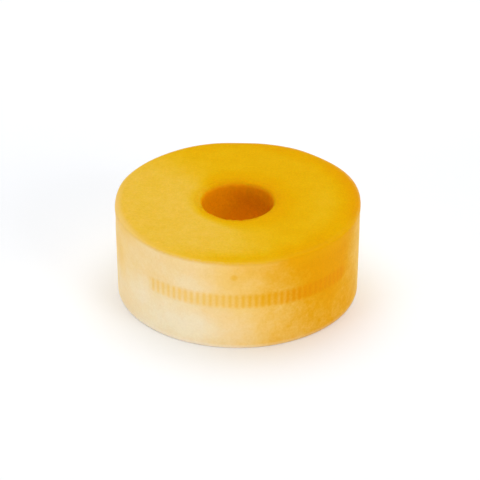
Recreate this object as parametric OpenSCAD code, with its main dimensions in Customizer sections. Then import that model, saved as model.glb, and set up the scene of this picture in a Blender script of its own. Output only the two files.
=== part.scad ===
// Bump stop: one thick ring of cast polyurethane. It slides on a damper's rod and cushions the end
// of the stroke. Millimetres, +Z up along the rod's axis. The base face, which lay on the mould's
// floor, is at Z = 0. The upper face, which was open to the air in the mould and was then trimmed
// flat, is at Z = height.

/* [Ring] */
// Outside diameter over the rim, the ring's widest part
rim_d = 50; // [40:0.5:80]
// Height from the base face to the upper face
height = 20; // [12:0.5:40]
// Draft that frees the side from its mould: how far it leans in, on the radius, from rim to base edge
side_draft = 0.2; // [0.1:0.05:1]
// Radius of the edge between the side and the base face
base_edge_r = 0.4; // [0.3:0.1:1.5]

/* [Rim] */
// How far the rim stands out from the side under it
rim_step = 0.1; // [0.05:0.05:0.5]
// Height of the rim's upright outer band
rim_band_h = 0.8; // [0.6:0.1:2.5]
// Height over which the side flares out to that band
rim_flare_h = 1.8; // [0.5:0.1:3]
// Radius of the corner between the band and the upper face
rim_corner_r = 0.35; // [0.1:0.05:0.5]
// Width of the zone over which the upper face rolls off towards the rim
roll_w = 3.2; // [1.5:0.1:6]
// How far the upper face has dropped where that zone ends
roll_drop = 0.2; // [0.1:0.05:0.4]

/* [Bore] */
// Diameter of the damper rod that the ring slides on
rod_d = 14; // [8:0.5:22]
// Clearance between the rod and the bore, on the radius
rod_clearance = 0.25; // [0.1:0.05:0.45]
// Radius of the lip where the bore meets the upper face
upper_lip_r = 1.2; // [0.4:0.1:2]
// Radius of the lip where the bore meets the base face
lower_lip_r = 0.6; // [0.3:0.1:1.5]

/* [Hidden] */
// Names of the solids that the object is made of
// Name of the solid to draw, or all

$fn = 180;
// A cutting shape reaches this far past the surface that it cuts
past = 1;

// Radius of an arc that starts along a straight line and leaves it by rise over a length of run
function arc_r(run, rise) = (run * run + rise * rise) / (2 * rise);

rim_r = rim_d / 2;
bore_r = rod_d / 2 + rod_clearance;

// The upper face is flat as far as roll_start_r, and then follows an arc down to the rim
roll_r = arc_r(roll_w, roll_drop);
roll_start_r = rim_r - roll_w;
roll_z = height - roll_r;

// The rim's corner touches that arc from inside, so its centre lies on a circle about the arc's own centre
corner_x = rim_r - rim_corner_r;
corner_rise = sqrt(pow(roll_r - rim_corner_r, 2) - pow(corner_x - roll_start_r, 2));
corner_z = roll_z + corner_rise;
corner_end_angle = atan2(corner_rise, corner_x - roll_start_r);

// Under the rim the side flares out on an arc that starts upright
flare_r = arc_r(rim_flare_h, rim_step);
flare_z = height - roll_drop - rim_band_h - rim_flare_h;
side_top_r = rim_r - rim_step;

// The side leans in as far down as the base's edge, which turns from there through a right angle
base_r = side_top_r - side_draft;

// What a round of radius r about [x, z] takes off a convex corner: a wedge from angle a to angle b
// with its apex at the centre, less the round itself. The wedge's tip reaches past the corner.
module corner_waste(x, z, r, a, b) {
    reach = r + past;
    tip = reach / cos((b - a) / 2);
    middle = (a + b) / 2;
    translate([x, z]) difference() {
        polygon([
            [0, 0],
            reach * [cos(a), sin(a)],
            tip * [cos(middle), sin(middle)],
            reach * [cos(b), sin(b)],
        ]);
        circle(r);
    }
}

// Half of the ring's section with sharp corners, still square where the side flares out to the rim
module plain_section() {
    polygon([
        [bore_r, 0],
        [base_r, 0],
        [base_r, base_edge_r],
        [side_top_r, flare_z],
        [rim_r, flare_z],
        [rim_r, height],
        [bore_r, height],
    ]);
}

// What the roll-off takes from the upper face next to the rim
module roll_waste() {
    difference() {
        translate([roll_start_r, height - roll_drop - past]) square([roll_w + past, roll_drop + 2 * past]);
        translate([roll_start_r, roll_z]) circle(roll_r);
    }
}

// Half of the finished section, to the right of the rod's axis
module ring_section() {
    difference() {
        plain_section();
        roll_waste();
        translate([side_top_r + flare_r, flare_z]) circle(flare_r);
        corner_waste(corner_x, corner_z, rim_corner_r, 0, corner_end_angle);
        corner_waste(base_r - base_edge_r, base_edge_r, base_edge_r, -90, 0);
        corner_waste(bore_r + upper_lip_r, height - upper_lip_r, upper_lip_r, 90, 180);
        corner_waste(bore_r + lower_lip_r, lower_lip_r, lower_lip_r, 180, 270);
    }
}

// The whole object: the section turned about the rod's axis
module bumper_ring() {
    color("goldenrod") rotate_extrude() ring_section();
}

bumper_ring();
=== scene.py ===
import math

import bpy
import numpy as np
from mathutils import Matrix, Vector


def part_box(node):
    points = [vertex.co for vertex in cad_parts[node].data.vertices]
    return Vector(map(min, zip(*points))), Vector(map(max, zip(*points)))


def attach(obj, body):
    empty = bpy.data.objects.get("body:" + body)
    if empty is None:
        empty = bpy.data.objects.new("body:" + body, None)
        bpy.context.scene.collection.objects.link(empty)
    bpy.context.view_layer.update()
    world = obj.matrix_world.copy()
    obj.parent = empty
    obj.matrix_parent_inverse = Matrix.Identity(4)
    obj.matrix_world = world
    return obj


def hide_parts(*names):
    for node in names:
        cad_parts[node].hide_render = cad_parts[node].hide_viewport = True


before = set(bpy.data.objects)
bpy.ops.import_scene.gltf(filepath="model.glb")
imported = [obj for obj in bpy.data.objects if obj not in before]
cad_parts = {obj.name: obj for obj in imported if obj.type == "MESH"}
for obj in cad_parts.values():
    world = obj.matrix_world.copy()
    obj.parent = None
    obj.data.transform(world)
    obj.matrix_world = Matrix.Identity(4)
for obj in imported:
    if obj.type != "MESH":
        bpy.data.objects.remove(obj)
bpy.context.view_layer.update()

# Cast ring
# One thick ring of amber polyurethane, poured into an open mould round a core that left the bore.
# The base and the side took the mould's skin, the bore took the core's, and the upper face was
# trimmed flat with a knife. Its section has the solid's own sizes, in millimetres.
MM = 0.001
_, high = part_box("bumper_ring")
rim_r = high.x / MM
height = high.z / MM
side_draft = 0.2
base_edge_r = 0.4
rim_step = 0.1
rim_band_h = 0.8
rim_flare_h = 1.8
rim_corner_r = 0.35
roll_w = 3.2
roll_drop = 0.2
bore_r = 7.25
upper_lip_r = 1.2
lower_lip_r = 0.6

# Where the skin's finish ends on the roll-off, as an angle on its arc, in degrees. At 90 it meets the flat.
SKIN_END = 85.0
# How many times the section stands round the axis
TURNS = 540


def arc(x, z, r, start, end, count):
    """Points (x + r cos a, z + r sin a) for angles a, in degrees, spaced evenly from start to end."""
    a = np.radians(np.linspace(start, end, count))
    return np.stack([x + r * np.cos(a), z + r * np.sin(a)], 1)


def line(start, end, count):
    """Points that part the straight way from start to end evenly, without its two ends."""
    t = np.linspace(0, 1, count + 2)[1:-1, None]
    return np.array(start) * (1 - t) + np.array(end) * t


def arc_radius(run, rise):
    """Radius of an arc that starts along a line and leaves it by rise over a length of run."""
    return (run**2 + rise**2) / (2 * rise)


# The rim's corner touches the roll-off's arc from inside
roll_r = arc_radius(roll_w, roll_drop)
roll_x = rim_r - roll_w
roll_z = height - roll_r
corner_x = rim_r - rim_corner_r
corner_rise = math.sqrt((roll_r - rim_corner_r) ** 2 - (corner_x - roll_x) ** 2)
corner_end = math.degrees(math.atan2(corner_rise, corner_x - roll_x))
side_top_r = rim_r - rim_step
base_edge_x = side_top_r - side_draft - base_edge_r
flare_r = arc_radius(rim_flare_h, rim_step)
flare_z = height - roll_drop - rim_band_h - rim_flare_h
flare_end = 180 - math.degrees(math.asin(rim_flare_h / flare_r))
upper_lip_x = bore_r + upper_lip_r
upper_lip_z = height - upper_lip_r
lower_lip_x = bore_r + lower_lip_r

# The section's four stretches, from the lower lip outwards and round, back to the bore. The last number
# of each arc and line says how many points it has.
base_stretch = line((lower_lip_x, 0), (base_edge_x, 0), 14)
side_stretch = np.concatenate([
    arc(base_edge_x, base_edge_r, base_edge_r, -90, 0, 8),
    line((base_edge_x + base_edge_r, base_edge_r), (side_top_r, flare_z), 36),
    arc(side_top_r + flare_r, flare_z, flare_r, 180, flare_end, 7),
    arc(corner_x, roll_z + corner_rise, rim_corner_r, 0, corner_end, 7),
    arc(roll_x, roll_z, roll_r, corner_end, SKIN_END, 5)[1:],
])
face_stretch = np.concatenate([
    arc(roll_x, roll_z, roll_r, SKIN_END, 90, 10)[1:],
    line((roll_x, height), (upper_lip_x, height), 26),
    arc(upper_lip_x, upper_lip_z, upper_lip_r, 90, 130, 9),
])
bore_stretch = np.concatenate([
    arc(upper_lip_x, upper_lip_z, upper_lip_r, 135, 180, 9),
    line((bore_r, upper_lip_z), (bore_r, lower_lip_r), 26),
    arc(lower_lip_x, lower_lip_r, lower_lip_r, 180, 270, 7),
])
stretches = (base_stretch, side_stretch, face_stretch, bore_stretch)
section = np.concatenate(stretches)

# How the hand-trimmed rim strays from a circle, each as direction, half width in degrees, and millimetres
RIM_SWELLS = (
    (86, 16, -0.04),
    (115, 26, 0.25),
    (152, 16, 0.18),
    (178, 13, -0.24),
    (-158, 20, 0.14),
    (-112, 12, 0.08),
    (-93, 16, -0.14),
    (-30, 22, 0.08),
    (25, 18, -0.08),
)

# How the lip strays in the same way
LIP_SWELLS = (
    (-36, 26, -0.17),
    (-6, 24, 0.12),
    (16, 40, 0.24),
)

# Sizes of the slow waves in the side and the upper face
SIDE_WAVE = 0.02
FACE_WAVE = 0.02

# Radii and heights between which each of these comes in
RIM_FROM_R = (15, 24)
RIM_FROM_Z = (14, 19)
LIP_FROM_R = (10.5, 8)
LIP_FROM_Z = (17, 19.4)
FACE_FROM_R = (8, 10)
FACE_FROM_Z = (18, 19.8)

# Chips on the lip, dense on the left of the front, where the core was prised out, and sparse round that.
# Each one's length along the lip, shift outwards, width across the lip and depth are drawn from a range.
# It moves the surface outwards and down by a share of its depth.
CHIP_SEED = 7
DENSE_DIRECTIONS = (-64, -14)
DENSE_CHIPS = 28
SPARSE_DIRECTIONS = (-120, 60)
SPARSE_CHIPS = 10
CHIP_R = 7.85
CHIP_Z = 19.8
CHIP_LENGTHS = (0.25, 0.6)
CHIP_SHIFTS = (-0.1, 0.15)
CHIP_WIDTHS = (0.4, 0.6)
CHIP_DEPTHS = (0.03, 0.16)
CHIP_OUTWARDS = 0.6
CHIP_DOWN = 0.8


def smooth(value, start, end):
    """Smooth step from 0, where the value is start, to 1, where it is end."""
    t = np.clip((value - start) / (end - start), 0, 1)
    return t * t * (3 - 2 * t)


def turn_between(a, b):
    """Degrees from direction b to direction a, from -180 to 180."""
    return (a - b + 180) % 360 - 180


def swell(a, centre, half):
    """Raised cosine: 1 at the direction centre, and 0 from half degrees to either side of it."""
    return 0.5 + 0.5 * np.cos(np.pi * np.clip(turn_between(a, centre) / half, -1, 1))


def strayed(a, r, z):
    """How far the rim, the lip and the side stand out of round, over directions a and points (r, z).

    The rim's swells fade out over the upper face inwards and down the side, and the lip's outwards and
    down the bore. The side's slow waves run round the whole ring: sines of 3, 5 and 8 periods.
    """
    rim = sum(size * swell(a, centre, half) for centre, half, size in RIM_SWELLS)
    lip = sum(size * swell(a, centre, half) for centre, half, size in LIP_SWELLS)
    turn = np.radians(a)
    waves = np.sin(3 * turn + 1) + 0.6 * np.sin(5 * turn + 2) + 0.4 * np.sin(8 * turn)
    rim = rim * smooth(r, *RIM_FROM_R) * smooth(z, *RIM_FROM_Z)
    lip = lip * smooth(r, *LIP_FROM_R) * smooth(z, *LIP_FROM_Z)
    return rim + lip + SIDE_WAVE * waves * smooth(r, *RIM_FROM_R)


def chipped(a, r, z):
    """Depth of the small chips on the lip: a sum of bell shapes, levelled off where they meet."""
    random = np.random.default_rng(CHIP_SEED)
    dense = random.uniform(*DENSE_DIRECTIONS, DENSE_CHIPS)
    sparse = random.uniform(*SPARSE_DIRECTIONS, SPARSE_CHIPS)
    depth = np.zeros(np.broadcast_shapes(a.shape, r.shape))
    for centre in np.concatenate([dense, sparse]):
        along = np.radians(turn_between(a, centre)) * CHIP_R / random.uniform(*CHIP_LENGTHS)
        outwards = r - CHIP_R - random.uniform(*CHIP_SHIFTS)
        across = np.hypot(outwards, z - CHIP_Z) / random.uniform(*CHIP_WIDTHS)
        depth += random.uniform(*CHIP_DEPTHS) * np.exp(-along**2 - across**2)
    return depth / (1 + depth)


def turned(section, turns):
    """Rows of points round the axis, the section's point (r, z) at angle a being (r sin a, -r cos a, z).

    Before the turn, r grows by how far the ring strays from round, and the upper face sinks by slow waves,
    1 + sin(2a + 40) cos(r / 4) times FACE_WAVE.
    """
    a = np.linspace(0, 360, turns, endpoint=False)[:, None]
    r = section[None, :, 0]
    z = section[None, :, 1]
    chip = chipped(a, r, z)
    sag = 1 + np.sin(np.radians(2 * a + 40)) * np.cos(r / 4)
    sunk = FACE_WAVE * sag * smooth(z, *FACE_FROM_Z) * smooth(r, *FACE_FROM_R)
    r = r + strayed(a, r, z) + CHIP_OUTWARDS * chip
    z = z - sunk - CHIP_DOWN * chip
    a = np.radians(a)
    return np.stack([r * np.sin(a), -r * np.cos(a), z], 2)


def closed_rows(rows, columns):
    """Quads over a grid of points that closes on itself both ways, facing out of an anticlockwise section."""
    here = np.arange(rows)[:, None] * columns + np.arange(columns)[None, :]
    onward = np.roll(here, -1, axis=0)
    quads = np.stack([here, onward, np.roll(onward, -1, axis=1), np.roll(here, -1, axis=1)], 2)
    return quads.reshape(-1, 4)


ring_mesh = bpy.data.meshes.new("bumper_ring_cast")
ring_points = turned(section, TURNS) * MM
ring_quads = closed_rows(TURNS, len(section))
ring_mesh.from_pydata(ring_points.reshape(-1, 3), [], ring_quads)
ring_mesh.polygons.foreach_set("use_smooth", np.ones(len(ring_quads), bool))
ring = bpy.data.objects.new("bumper_ring_cast", ring_mesh)
bpy.context.scene.collection.objects.link(ring)
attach(ring, "root")
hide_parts("bumper_ring")

# Finishes
# The ring has three, all of the same resin: the moulded skin, the trimmed face and the bore's wall. They
# share three groups, for a point's place, for the resin's unevenness and for the colour of cut resin.


def put(tree, kind, **settings):
    """A new shader node of a tree, with its properties set by name."""
    node = tree.nodes.new("ShaderNode" + kind)
    for key, value in settings.items():
        setattr(node, key, value)
    return node


def feed(tree, socket, value):
    """Links an output to a socket, or sets the socket to a plain value."""
    if isinstance(value, bpy.types.NodeSocket):
        tree.links.new(value, socket)
    else:
        socket.default_value = value


def calc(tree, operation, *values, clamp=False):
    """The result of a Math node."""
    node = put(tree, "Math", operation=operation, use_clamp=clamp)
    for socket, value in zip(node.inputs, values):
        feed(tree, socket, value)
    return node.outputs["Value"]


def vector(tree, operation, *values, result="Vector"):
    """The result of a Vector Math node."""
    node = put(tree, "VectorMath", operation=operation)
    for socket, value in zip(node.inputs, values):
        feed(tree, socket, value)
    return node.outputs[result]


def scaled(tree, given, factor):
    """A vector or a colour times a number."""
    node = put(tree, "VectorMath", operation="SCALE")
    feed(tree, node.inputs["Vector"], given)
    feed(tree, node.inputs["Scale"], factor)
    return node.outputs["Vector"]


def step(tree, value, start, end, low=0.0, high=1.0):
    """A smooth step from low, where the value is start, to high, where it is end."""
    node = put(tree, "MapRange", interpolation_type="SMOOTHSTEP")
    for socket, number in zip(node.inputs, (value, start, end, low, high)):
        feed(tree, socket, number)
    return node.outputs["Result"]


def blend(tree, mask, first, second):
    """The first colour where the mask is 0, and the second where it is 1."""
    node = put(tree, "Mix", data_type="RGBA")
    feed(tree, node.inputs["Factor"], mask)
    colours = [socket for socket in node.inputs if socket.type == "RGBA"]
    feed(tree, colours[0], first)
    feed(tree, colours[1], second)
    return [socket for socket in node.outputs if socket.type == "RGBA"][0]


def noise(tree, place, size, detail=2.0):
    """Noise from about -1 to 1, whose lumps are about size millimetres across."""
    node = put(tree, "TexNoise")
    feed(tree, node.inputs["Vector"], place)
    node.inputs["Scale"].default_value = 1 / size
    node.inputs["Detail"].default_value = detail
    return calc(tree, "MULTIPLY_ADD", node.outputs["Fac"], 4.0, -2.0)


def ramp(tree, value, stops):
    """The colour at value on a ramp with stops of (position, colour)."""
    node = put(tree, "ValToRGB")
    elements = node.color_ramp.elements
    while len(elements) < len(stops):
        elements.new(0.5)
    for element, (position, colour) in zip(elements, stops):
        element.position = position
        element.color = (*colour, 1)
    feed(tree, node.inputs["Fac"], value)
    return node.outputs["Color"]


def group(name, inputs, outputs):
    """A node group with named inputs and outputs, given as (kind, name) pairs, and its two end nodes."""
    tree = bpy.data.node_groups.new(name, "ShaderNodeTree")
    for kind, label in inputs:
        tree.interface.new_socket(label, in_out="INPUT", socket_type="NodeSocket" + kind)
    for kind, label in outputs:
        tree.interface.new_socket(label, in_out="OUTPUT", socket_type="NodeSocket" + kind)
    return tree, tree.nodes.new("NodeGroupInput").outputs, tree.nodes.new("NodeGroupOutput").inputs


def use(tree, shared, **values):
    """The outputs of a group that is placed in a tree with its own values."""
    node = put(tree, "Group", node_tree=shared)
    for key, value in values.items():
        feed(tree, node.inputs[key.replace("_", " ")], value)
    return node.outputs


def away(tree, here, centre):
    """How many degrees round the ring a point lies from the direction centre."""
    return calc(tree, "PINGPONG", calc(tree, "SUBTRACT", here["Direction"], centre), 180.0)


def sector(tree, here, centre, start, end, low=0.0, high=1.0):
    """A smooth step from low, at start degrees from the direction centre, to high, at end degrees."""
    return step(tree, away(tree, here, centre), start, end, low, high)


def oval(tree, here, centre, half_turn, other, middle, half_other, edge=0.2):
    """A soft oval mask round the direction centre and the value middle of another measure, 1 inside."""
    along = calc(tree, "DIVIDE", away(tree, here, centre), half_turn)
    across = calc(tree, "DIVIDE", calc(tree, "SUBTRACT", here[other], middle), half_other)
    squares = calc(tree, "MULTIPLY_ADD", along, along, calc(tree, "MULTIPLY", across, across))
    return step(tree, calc(tree, "SQRT", squares), 1.0, edge)


# Where a point of the ring is: its place, distance from the axis and height, in millimetres, and its
# direction from the axis in degrees, in which 0 is -Y and 90 is +X
place, _, out = group("ring_place", [], [
    ("Vector", "Place"), ("Float", "Radius"), ("Float", "Height"), ("Float", "Direction"),
])
mm = scaled(place, put(place, "TexCoord").outputs["Object"], 1 / MM)
feed(place, out["Place"], mm)
feed(place, out["Radius"], vector(place, "LENGTH", vector(place, "MULTIPLY", mm, (1, 1, 0)), result="Value"))
feed(place, out["Height"], vector(place, "DOT_PRODUCT", mm, (0, 0, 1), result="Value"))
right = vector(place, "DOT_PRODUCT", mm, (1, 0, 0), result="Value")
front = vector(place, "DOT_PRODUCT", mm, (0, -1, 0), result="Value")
feed(place, out["Direction"], calc(place, "MULTIPLY", calc(place, "ARCTAN2", right, front), math.degrees(1)))

# Unevenness of the resin, from about -1 to 1: clouds, a fine mottle and the finest grain
uneven, given, out = group("resin_unevenness", [("Vector", "Place")], [
    ("Float", "Cloud"), ("Float", "Mottle"), ("Float", "Grain"),
])
feed(uneven, out["Cloud"], noise(uneven, given["Place"], 7.0))
coarse = noise(uneven, given["Place"], 2.6, detail=1.0)
fine = noise(uneven, given["Place"], 0.9, detail=1.0)
feed(uneven, out["Mottle"], calc(uneven, "MULTIPLY_ADD", coarse, 0.5, calc(uneven, "MULTIPLY", fine, 0.5)))
feed(uneven, out["Grain"], noise(uneven, given["Place"], 0.4, detail=1.0))


# Height of the relief that the finest grain makes, in millimetres
GRAIN_RELIEF = 0.012


def finish(name, roughness, specular):
    """A material of cast resin, with its tree, shader, place and unevenness."""
    material = bpy.data.materials.new(name)
    material.use_nodes = True
    tree = material.node_tree
    shader = tree.nodes["Principled BSDF"]
    shader.inputs["Specular IOR Level"].default_value = specular
    shader.inputs["Subsurface Weight"].default_value = 0.3
    shader.inputs["Subsurface Radius"].default_value = (1.0, 0.4, 0.1)
    shader.inputs["Subsurface Scale"].default_value = 0.002
    here = use(tree, place)
    spots = use(tree, uneven, Place=here["Place"])
    feed(tree, shader.inputs["Roughness"], calc(tree, "MULTIPLY_ADD", spots["Mottle"], 0.06, roughness))
    return material, tree, shader, here, spots


def raised(tree, shader, *reliefs):
    """Relief on a surface: the sum of masks from about -1 to 1, each times its height in millimetres."""
    total = 0.0
    for mask, relief in reliefs:
        total = calc(tree, "MULTIPLY_ADD", mask, relief, total)
    bump = put(tree, "Bump")
    bump.inputs["Distance"].default_value = MM
    feed(tree, bump.inputs["Height"], total)
    feed(tree, shader.inputs["Normal"], bump.outputs["Normal"])


def speckled(tree, colour, spots, share):
    """A colour made lighter and darker by about that share, by the grain and half as much by the mottle."""
    both = calc(tree, "MULTIPLY_ADD", spots["Mottle"], 0.5, spots["Grain"])
    return scaled(tree, colour, calc(tree, "MULTIPLY_ADD", both, share, 1.0))


# Cut resin, as it shows on the upper face and over the rim: its haze, with painted light, runs from 0, deep
# amber, to 1, pale
CUT_STOPS = (
    (0.0, (0.790, 0.376, 0.001)),
    (0.2, (0.795, 0.411, 0.001)),
    (0.4, (0.800, 0.445, 0.004)),
    (0.6, (0.812, 0.470, 0.014)),
    (0.8, (0.825, 0.498, 0.036)),
    (1.0, (0.838, 0.520, 0.068)),
)
CUT_PAINTED_LIGHT = (0.88, 0.6, 0.22, 1)
CUT_ORANGE = (0.81, 0.31, 0.001, 1)
cut, given, out = group("cut_resin", [
    ("Float", "Radius"), ("Float", "Direction"), ("Float", "Cloud"), ("Float", "Mottle"),
], [("Color", "Colour")])

# The haze, with painted light added where the light fell, is thick on the left of the front, and thin
# elsewhere, less so in a patch on the right
haze_and_light = sector(cut, given, -65, 105, 45, 0.33, 0.88)
haze_and_light = calc(cut, "MULTIPLY_ADD", oval(cut, given, 85, 45, "Radius", 17.5, 4), 0.1, haze_and_light)

# It is worn off round the lip, further out on the right, and along the rim except on the left
lip_reach = sector(cut, given, -75, 90, 35, 13.8, 10.8)
lip_wear = sector(cut, given, -100, 50, 20, 0.85, 0.35)
at_lip = calc(cut, "MULTIPLY", step(cut, given["Radius"], lip_reach, 8.3), lip_wear)
rim_wear = sector(cut, given, -87, 45, 85, 0.0, 0.5)
rim_wear = calc(cut, "ADD", rim_wear, sector(cut, given, -87, 100, 120, 0.0, 0.45))
at_rim = calc(cut, "MULTIPLY", step(cut, given["Radius"], 19.5, 23.7), rim_wear)
haze_and_light = calc(cut, "MULTIPLY", haze_and_light, calc(cut, "SUBTRACT", 1.0, calc(cut, "MAXIMUM", at_lip, at_rim)))

# A patch of it is left on the rim at the right of the front, and all of it is a little uneven
haze_and_light = calc(cut, "MULTIPLY_ADD", oval(cut, given, 63, 19, "Radius", 23.6, 2.6), 0.18, haze_and_light)
haze_and_light = calc(cut, "MULTIPLY_ADD", given["Cloud"], 0.04, haze_and_light)
haze_and_light = calc(cut, "MULTIPLY_ADD", given["Mottle"], 0.09, haze_and_light, clamp=True)

# The rim's edge is painted paler on the left, painted light where the light fell, and is a deeper orange on
# the right
rim_painted_light = sector(cut, given, -76, 36, 8, 0.0, 0.6)
rim_painted_light = calc(cut, "MULTIPLY", step(cut, given["Radius"], 23.2, 24.8), rim_painted_light)
right_rim_deeper = sector(cut, given, 97, 42, 12, 0.0, 0.45)
right_rim_deeper = calc(cut, "MULTIPLY", step(cut, given["Radius"], 21.5, 24.5), right_rim_deeper)
colour = blend(cut, rim_painted_light, ramp(cut, haze_and_light, CUT_STOPS), CUT_PAINTED_LIGHT)
feed(cut, out["Colour"], blend(cut, right_rim_deeper, colour, CUT_ORANGE))


def cut_colour(tree, here, spots):
    """The colour of the cut resin at a place."""
    shared = {"Radius": here["Radius"], "Direction": here["Direction"]}
    return use(tree, cut, **shared, Cloud=spots["Cloud"], Mottle=spots["Mottle"])["Colour"]


# Moulded skin of the base and the side: a pale bloom lies on it, with painted light added on the left of the
# front, where the light fell, and it is worn thin on the right. Where it thins, the orange amber under it
# shows.
BLOOM_AND_LIGHT_STOPS = (
    (0.0, (0.848, 0.366, 0.001)),
    (0.15, (0.850, 0.400, 0.007)),
    (0.3, (0.872, 0.460, 0.039)),
    (0.45, (0.903, 0.535, 0.096)),
    (0.6, (0.924, 0.605, 0.178)),
    (0.8, (0.933, 0.688, 0.337)),
    (1.0, (0.935, 0.802, 0.554)),
)
# Patches of thicker or thinner bloom, each as direction, half turn, height, half height and change
PATCHES = (
    (40, 19, 19, 6, -0.2),
    (62, 12, 18, 5, -0.12),
    (66, 16, 4, 6, -0.09),
    (50, 18, 11.2, 2, -0.12),
    (52, 18, 14, 5, -0.12),
    (24, 12, 10.5, 8, 0.16),
    (8, 10, 14.5, 3, 0.08),
    (-20, 14, 14, 3, 0.09),
    (-20, 18, 4.5, 4, 0.09),
    (0, 12, 17, 4, -0.06),
    (-72, 10, 12, 7, -0.08),
    (-68, 22, 20, 4, -0.12),
    (-1.5, 2.4, 16.5, 1.0, -0.15),
    (128, 26, 12, 10, -0.1),
    (172, 34, 7, 9, -0.08),
    (-148, 26, 14, 9, -0.1),
    (-112, 20, 8, 8, -0.07),
)
BASE_BLOOM = 0.75
skin, tree, shader, here, spots = finish("moulded_skin", 0.5, 0.02)
shader.inputs["Subsurface Weight"].default_value = 0.1
raised(tree, shader, (spots["Grain"], GRAIN_RELIEF), (spots["Mottle"], 0.02))

# The bloom, with its painted light, runs from 0, worn off, to 1, thick. What changes it is listed as masks,
# each with its change.
# Painted light: the skin is painted pale everywhere but round the right of the front, palest on the left
# where the light fell
pale_bloom_and_light = sector(tree, here, 47, -10, 78, 0.05, 0.97)
upper = calc(tree, "MULTIPLY", step(tree, here["Height"], 5, 14), sector(tree, here, -25, 87, 75))
lower = calc(tree, "MULTIPLY", step(tree, here["Height"], 9, 1), sector(tree, here, 42, 25, 10))
worn_back = noise(tree, here["Place"], 11.0, detail=4.0)
worn_back = calc(tree, "MULTIPLY", sector(tree, here, 0, 95, 135), worn_back)
changes = [
    (worn_back, 0.16),
    (sector(tree, here, -80, 32, 0), -0.1),
    (upper, -0.16),
    (lower, 0.1),
]
for direction, half_turn, level, half_height, change in PATCHES:
    changes.append((oval(tree, here, direction, half_turn, "Height", level, half_height), change))

# A row of plain upright ticks round the front, all alike, evenly spaced and worn soft, in a rubbed band.
# The pitch and the row's direction, half turn and fade are in degrees, the rest is in millimetres.
TICK_PITCH = 3.0
TICK_HALF = 0.3
TICK_BLUR = 0.3
ROW_HEIGHT = 11.0
ROW_EDGES = (2.0, 0.9)
ROW_DIRECTION = 7.0
ROW_HALF_TURN = 53.0
ROW_FADE = 3.0
off_row = calc(tree, "ABSOLUTE", calc(tree, "SUBTRACT", here["Height"], ROW_HEIGHT))
in_row = calc(tree, "SUBTRACT", here["Direction"], ROW_DIRECTION)
row_end = step(tree, calc(tree, "ABSOLUTE", in_row), ROW_HALF_TURN, ROW_HALF_TURN - ROW_FADE)
row = calc(tree, "MULTIPLY", step(tree, off_row, *ROW_EDGES), row_end)
between = calc(tree, "PINGPONG", calc(tree, "DIVIDE", in_row, TICK_PITCH), 0.5)
off_tick = calc(tree, "MULTIPLY", calc(tree, "SUBTRACT", 0.5, between), math.radians(TICK_PITCH) * side_top_r)
tick = calc(tree, "MULTIPLY", row, step(tree, off_tick, TICK_HALF + TICK_BLUR, TICK_HALF - TICK_BLUR))
tick_wear = calc(tree, "MULTIPLY_ADD", spots["Mottle"], 0.5, 1.0)
changes += [
    (row, -0.09),
    (calc(tree, "MULTIPLY", tick, tick_wear), -0.14),
    (spots["Cloud"], 0.05),
    (spots["Mottle"], sector(tree, here, 50, 60, 10, 0.035, 0.12)),
    (spots["Grain"], sector(tree, here, 50, 60, 10, 0.01, 0.045)),
]
for mask, change in changes:
    pale_bloom_and_light = calc(tree, "MULTIPLY_ADD", mask, change, pale_bloom_and_light)

# Under the ring the bloom is even
under = step(tree, here["Radius"], 24, 20)
pale_bloom_and_light = calc(tree, "MULTIPLY_ADD", calc(tree, "SUBTRACT", BASE_BLOOM, pale_bloom_and_light), under, pale_bloom_and_light, clamp=True)
colour = ramp(tree, pale_bloom_and_light, BLOOM_AND_LIGHT_STOPS)

# Where the bloom is worn thin, the row shows as deeper amber, and under the rim the amber is yellower
ROW_AMBER = (0.82, 0.29, 0.001, 1)
RIM_AMBER = (0.860, 0.398, 0.001, 1)
deeper = calc(tree, "MULTIPLY_ADD", tick, 0.4, calc(tree, "MULTIPLY", row, 0.3))
deeper = calc(tree, "MULTIPLY", deeper, sector(tree, here, 44, 32, 14))
colour = blend(tree, deeper, colour, ROW_AMBER)
high_up = step(tree, here["Height"], 16, 19.3)
yellower = calc(tree, "MULTIPLY", high_up, sector(tree, here, 42, 24, 12))
colour = blend(tree, yellower, colour, RIM_AMBER)

# The base's edge is painted paler and a little rosy, a painted glow of light through the resin that lightens
# the shade at the contact, less so at the right of the front
EDGE_PAINTED_GLOW = (1.0, 0.86, 0.72, 1)
low_down = step(tree, here["Height"], 1.1, 0.1)
edge = calc(tree, "MULTIPLY", low_down, sector(tree, here, 38, 40, 20, 0.6, 0.25))
colour = blend(tree, edge, colour, EDGE_PAINTED_GLOW)

# Over the rim the cut resin takes over from the skin, as a point lies higher and, in the ring's upper
# half, further inwards
inwards = calc(tree, "MAXIMUM", calc(tree, "SUBTRACT", corner_x, here["Radius"]), 0.0)
inwards = calc(tree, "MULTIPLY", inwards, calc(tree, "GREATER_THAN", here["Height"], height / 2))
over = calc(tree, "ADD", here["Height"], inwards)
over = calc(tree, "SUBTRACT", over, sector(tree, here, 48, 42, 24, 0.0, 0.1))
over = calc(tree, "MULTIPLY_ADD", spots["Mottle"], 0.2, over)
over = calc(tree, "MULTIPLY_ADD", spots["Grain"], 0.1, over)
colour = blend(tree, step(tree, over, 18.9, 20.1), colour, cut_colour(tree, here, spots))
share = sector(tree, here, 70, 60, 15, 0.02, 0.04)
feed(tree, shader.inputs["Base Color"], speckled(tree, colour, spots, share))

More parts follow.
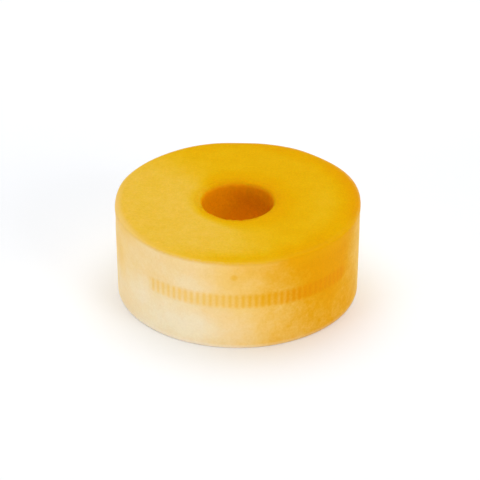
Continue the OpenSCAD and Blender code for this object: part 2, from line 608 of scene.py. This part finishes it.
# Trimmed face: cut resin with the faint straight marks that the knife drew across it. Round the lip it is
# painted deeper, painted shade on the lip, most of all at the front, and it is crumbly on the lip's left.
KNIFE_TURN = 25.0
LIP_DEEP_AND_SHADE = (0.66, 0.26, 0.001, 1)
trimmed, tree, shader, here, spots = finish("trimmed_face", 0.5, 0.005)
along = put(tree, "VectorRotate", rotation_type="Z_AXIS")
feed(tree, along.inputs["Vector"], here["Place"])
along.inputs["Angle"].default_value = math.radians(KNIFE_TURN)
marks = noise(tree, vector(tree, "MULTIPLY", along.outputs["Vector"], (0.1, 1, 1)), 0.6, detail=1.0)
raised(tree, shader, (spots["Grain"], GRAIN_RELIEF), (marks, 0.008))
colour = scaled(tree, cut_colour(tree, here, spots), calc(tree, "MULTIPLY_ADD", marks, 0.008, 1.0))
lip_painted_shade = sector(tree, here, 4, 34, 14, 0.2, 0.5)
lip_painted_shade = calc(tree, "MULTIPLY", lip_painted_shade, step(tree, here["Radius"], 9.2, 8.6))
ragged = calc(tree, "MULTIPLY_ADD", spots["Mottle"], 0.25, here["Radius"])
crumbs = step(tree, noise(tree, here["Place"], 0.8, detail=1.0), -0.9, 0.9)
crumbs = calc(tree, "MULTIPLY", crumbs, sector(tree, here, -30, 50, 35))
crumbs = calc(tree, "MULTIPLY", crumbs, step(tree, ragged, 8.9, 7.8, 0.0, 0.75))
colour = blend(tree, calc(tree, "MAXIMUM", lip_painted_shade, crumbs), colour, LIP_DEEP_AND_SHADE)
feed(tree, shader.inputs["Base Color"], speckled(tree, colour, spots, 0.05))

# Bore: clear amber, drawn faintly upright by the core, and duller over its lip. Deeper down it is painted
# lighter and given a faint painted glow, painted light for the light that the resin lets through.
BORE_LIP = (0.745, 0.375, 0.001, 1)
BORE_TOP = (0.860, 0.335, 0.001, 1)
BORE_DEEP_PAINTED_LIGHT = (0.985, 0.450, 0.002, 1)
BORE_PAINTED_GLOW = (0.07, 0.038, 0.0)
cored, tree, shader, here, spots = finish("bore_wall", 0.4, 0.02)
drawn = noise(tree, vector(tree, "MULTIPLY", here["Place"], (1, 1, 0.15)), 1.1, detail=1.0)
raised(tree, shader, (spots["Grain"], GRAIN_RELIEF), (drawn, 0.02))
lowered = calc(tree, "MULTIPLY_ADD", spots["Mottle"], 0.25, here["Height"])
sunk = step(tree, lowered, 19.9, 19.0)
flecks = calc(tree, "ADD", spots["Grain"], spots["Mottle"])
deep = step(tree, calc(tree, "MULTIPLY_ADD", flecks, -0.9, here["Height"]), 18.5, 11)
colour = blend(tree, sunk, BORE_LIP, blend(tree, deep, BORE_TOP, BORE_DEEP_PAINTED_LIGHT))
colour = scaled(tree, colour, calc(tree, "MULTIPLY_ADD", drawn, 0.03, 1.0))
# Painted light and shade: the bore's left wall is painted lighter and its right wall darker
colour = scaled(tree, colour, sector(tree, here, -90, 150, 30, 0.93, 1.07))
feed(tree, shader.inputs["Base Color"], speckled(tree, colour, spots, 0.045))
# The painted glow is strongest on the left of the far wall, and deeper down
painted_glow = sector(tree, here, -120, 135, 30, 0.1, 1.0)
painted_glow = calc(tree, "MULTIPLY", painted_glow, step(tree, here["Height"], 17, 9))
feed(tree, shader.inputs["Emission Color"], scaled(tree, BORE_PAINTED_GLOW, painted_glow))
shader.inputs["Emission Strength"].default_value = 1.0

for material in (skin, trimmed, cored):
    ring_mesh.materials.append(material)
finish_of_stretch = np.repeat((0, 0, 1, 2), [len(stretch) for stretch in stretches])
ring_mesh.polygons.foreach_set("material_index", np.tile(finish_of_stretch, TURNS))

# Floor
# A seamless white table. The camera sees it a little lighter than the ring does, so that only the
# shadow stays darker than white.
FLOOR_HALF = 3.0
FLOOR_WHITE = (0.95, 0.95, 0.95, 1)
FLOOR_SEEN = (1.003, 1.017, 1.045, 1)
corners = [(-FLOOR_HALF, -FLOOR_HALF, 0), (FLOOR_HALF, -FLOOR_HALF, 0)]
corners += [(FLOOR_HALF, FLOOR_HALF, 0), (-FLOOR_HALF, FLOOR_HALF, 0)]
floor_mesh = bpy.data.meshes.new("floor")
floor_mesh.from_pydata(corners, [], [(0, 1, 2, 3)])
floor = bpy.data.objects.new("floor", floor_mesh)
bpy.context.scene.collection.objects.link(floor)
paper = bpy.data.materials.new("white_table")
paper.use_nodes = True
tree = paper.node_tree
tree.nodes.remove(tree.nodes["Principled BSDF"])
rays = put(tree, "LightPath").outputs
mirrored = calc(tree, "MAXIMUM", rays["Is Glossy Ray"], rays["Is Transmission Ray"])
seen = calc(tree, "MAXIMUM", rays["Is Camera Ray"], mirrored)
plain = put(tree, "BsdfDiffuse")
plain.inputs["Color"].default_value = FLOOR_WHITE
bright = put(tree, "BsdfDiffuse")
bright.inputs["Color"].default_value = FLOOR_SEEN
either = put(tree, "MixShader")
feed(tree, either.inputs["Fac"], seen)
feed(tree, either.inputs[1], plain.outputs["BSDF"])
feed(tree, either.inputs[2], bright.outputs["BSDF"])
feed(tree, tree.nodes["Material Output"].inputs["Surface"], either.outputs["Shader"])
floor_mesh.materials.append(paper)

# Light
# A white studio all round, a broad soft lamp overhead, a little behind the ring, and a weak one on each
# side in front. Each lamp: its power, the direction that it stands in, its elevation and its breadth.
WORLD_LIGHT = 0.435
LAMPS = (
    ("overhead_lamp", 1.51, 180, 78, 62),
    ("left_lamp", 0.75, -55, 6, 20),
    ("right_lamp", 0.73, 48, 19, 30),
)
world = bpy.data.worlds.new("studio")
bpy.context.scene.world = world
world.use_nodes = True
world.node_tree.nodes["Background"].inputs["Color"].default_value = (1, 1, 1, 1)
world.node_tree.nodes["Background"].inputs["Strength"].default_value = WORLD_LIGHT
for name, power, direction, elevation, breadth in LAMPS:
    lamp = bpy.data.lights.new(name, "SUN")
    lamp.energy = power
    lamp.angle = math.radians(breadth)
    holder = bpy.data.objects.new(name, lamp)
    bpy.context.scene.collection.objects.link(holder)
    holder.rotation_euler = (math.radians(90 - elevation), 0, math.radians(direction))

# Camera
# It stands where the ring shows as large and as steep as in the photograph, and looks at its middle.
camera = bpy.data.cameras.new("camera")
camera.lens = 190.0
camera.sensor_width = 36.0
camera.clip_end = 20
eye = bpy.data.objects.new("camera", camera)
bpy.context.scene.collection.objects.link(eye)
elevation = math.radians(30.5)
distance = 518.8 * MM
target = np.array([0.46, 0.0, 10.44]) * MM
eye.location = target + distance * np.array([0, -math.cos(elevation), math.sin(elevation)])
eye.rotation_euler = (math.pi / 2 - elevation, 0, 0)
bpy.context.scene.camera = eye
bpy.context.scene.view_settings.view_transform = "Standard"
